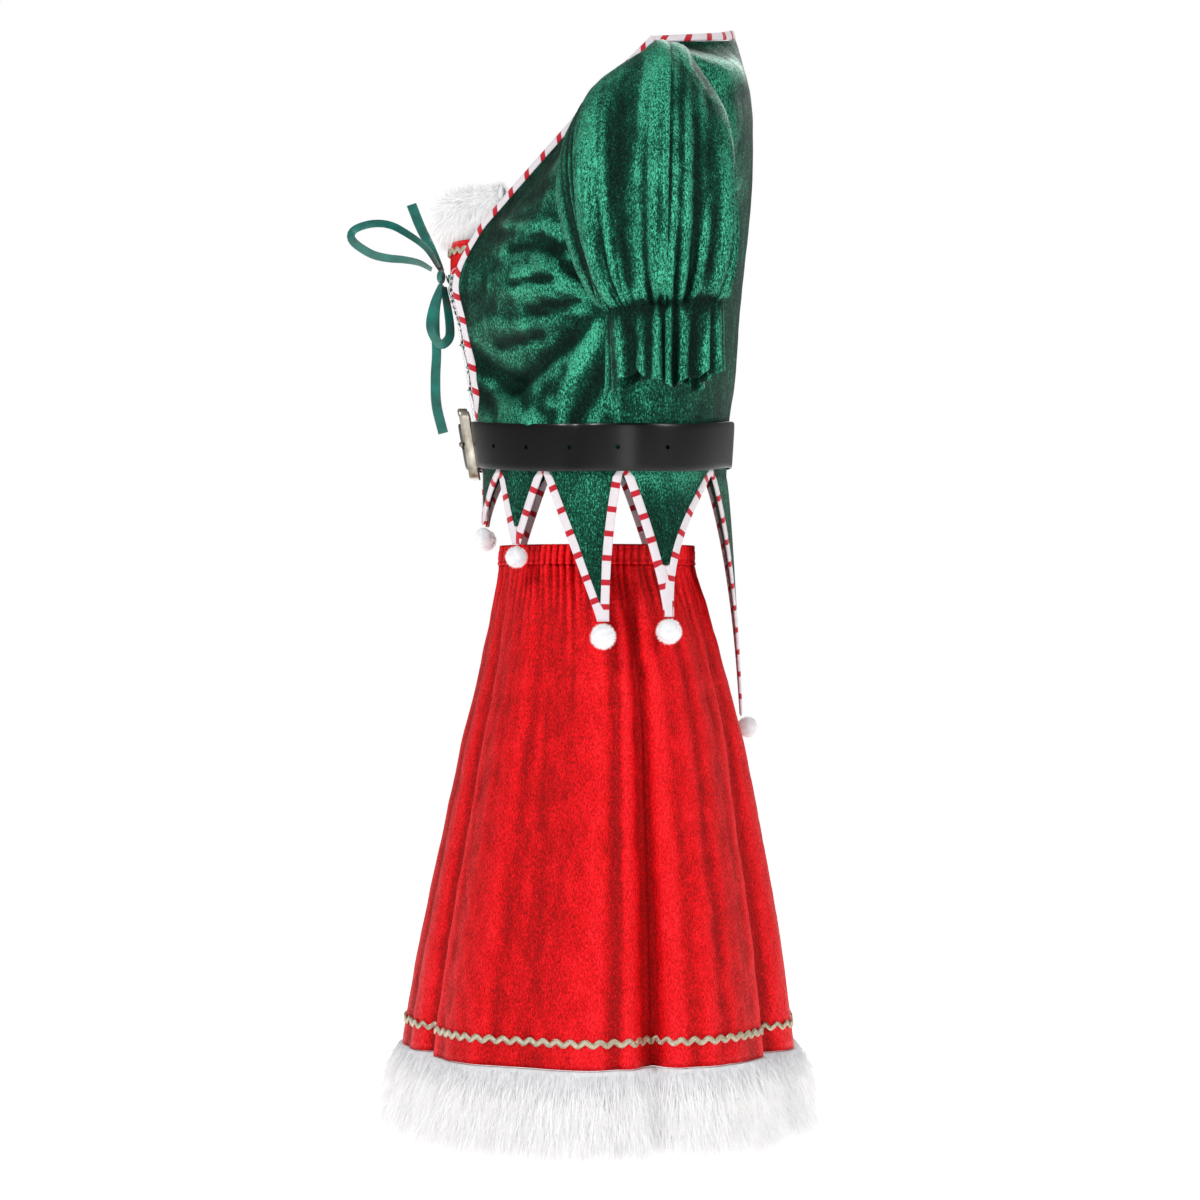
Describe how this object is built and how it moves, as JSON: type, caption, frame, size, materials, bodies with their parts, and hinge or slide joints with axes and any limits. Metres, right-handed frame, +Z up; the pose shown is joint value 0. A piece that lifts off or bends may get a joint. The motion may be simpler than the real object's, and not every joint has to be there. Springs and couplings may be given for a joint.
{
  "type": "elf costume set of top, belt and skirt",
  "caption": "Hollow worn costume: laced V-neck velvet top with puff sleeves and pointed pompom hem, buckled belt, and a gathered flared skirt with a fur hem.",
  "frame": {"origin": "middle of the shoulder line, where the wearer carries the top", "axes": "+Z up, -Y to the wearer's front, +X to the wearer's left"},
  "size_m": [0.5336, 0.4207, 0.9933],
  "materials": {
    "green_velvet": "crushed velvet with a soft sheen",
    "red_velvet": "crushed velvet with a soft sheen",
    "striped_binding": "woven tape, white with red stripes",
    "white_fur": "long pile faux fur",
    "satin_ribbon": "satin",
    "belt_leather": "fine grain with a soft shine",
    "buckle_metal": "antique silver with worn bright edges",
    "gold_braid": "metallic thread"
  },
  "bodies": {
    "root": {"top_front_left": "green_velvet", "top_front_right": "green_velvet", "top_back": "green_velvet", "sleeve_left": "green_velvet", "sleeve_right": "green_velvet", "sleeve_ruffle_left": "green_velvet", "sleeve_ruffle_right": "green_velvet", "binding_neck": "striped_binding", "binding_hem": "striped_binding", "insert_panel": "red_velvet", "insert_braid": "gold_braid", "insert_fur": "white_fur", "lace_a": "satin_ribbon", "lace_b": "satin_ribbon", "bow_loop_up": "satin_ribbon", "bow_loop_down": "satin_ribbon", "bow_tail_up": "satin_ribbon", "bow_tail_down": "satin_ribbon", "bow_knot": "satin_ribbon", "pompom_front_left": "white_fur", "pompom_front_right": "white_fur", "pompom_second_left": "white_fur", "pompom_second_right": "white_fur", "pompom_side_left": "white_fur", "pompom_side_right": "white_fur", "pompom_rear_left": "white_fur", "pompom_rear_right": "white_fur", "pompom_tail_left": "white_fur", "belt_strap": "belt_leather", "belt_keeper": "belt_leather", "buckle_frame": "buckle_metal", "buckle_prong": "buckle_metal", "skirt_waistband": "red_velvet", "skirt_cloth": "red_velvet", "skirt_braid": "gold_braid", "skirt_fur": "white_fur"}
  },
  "joints": []
}
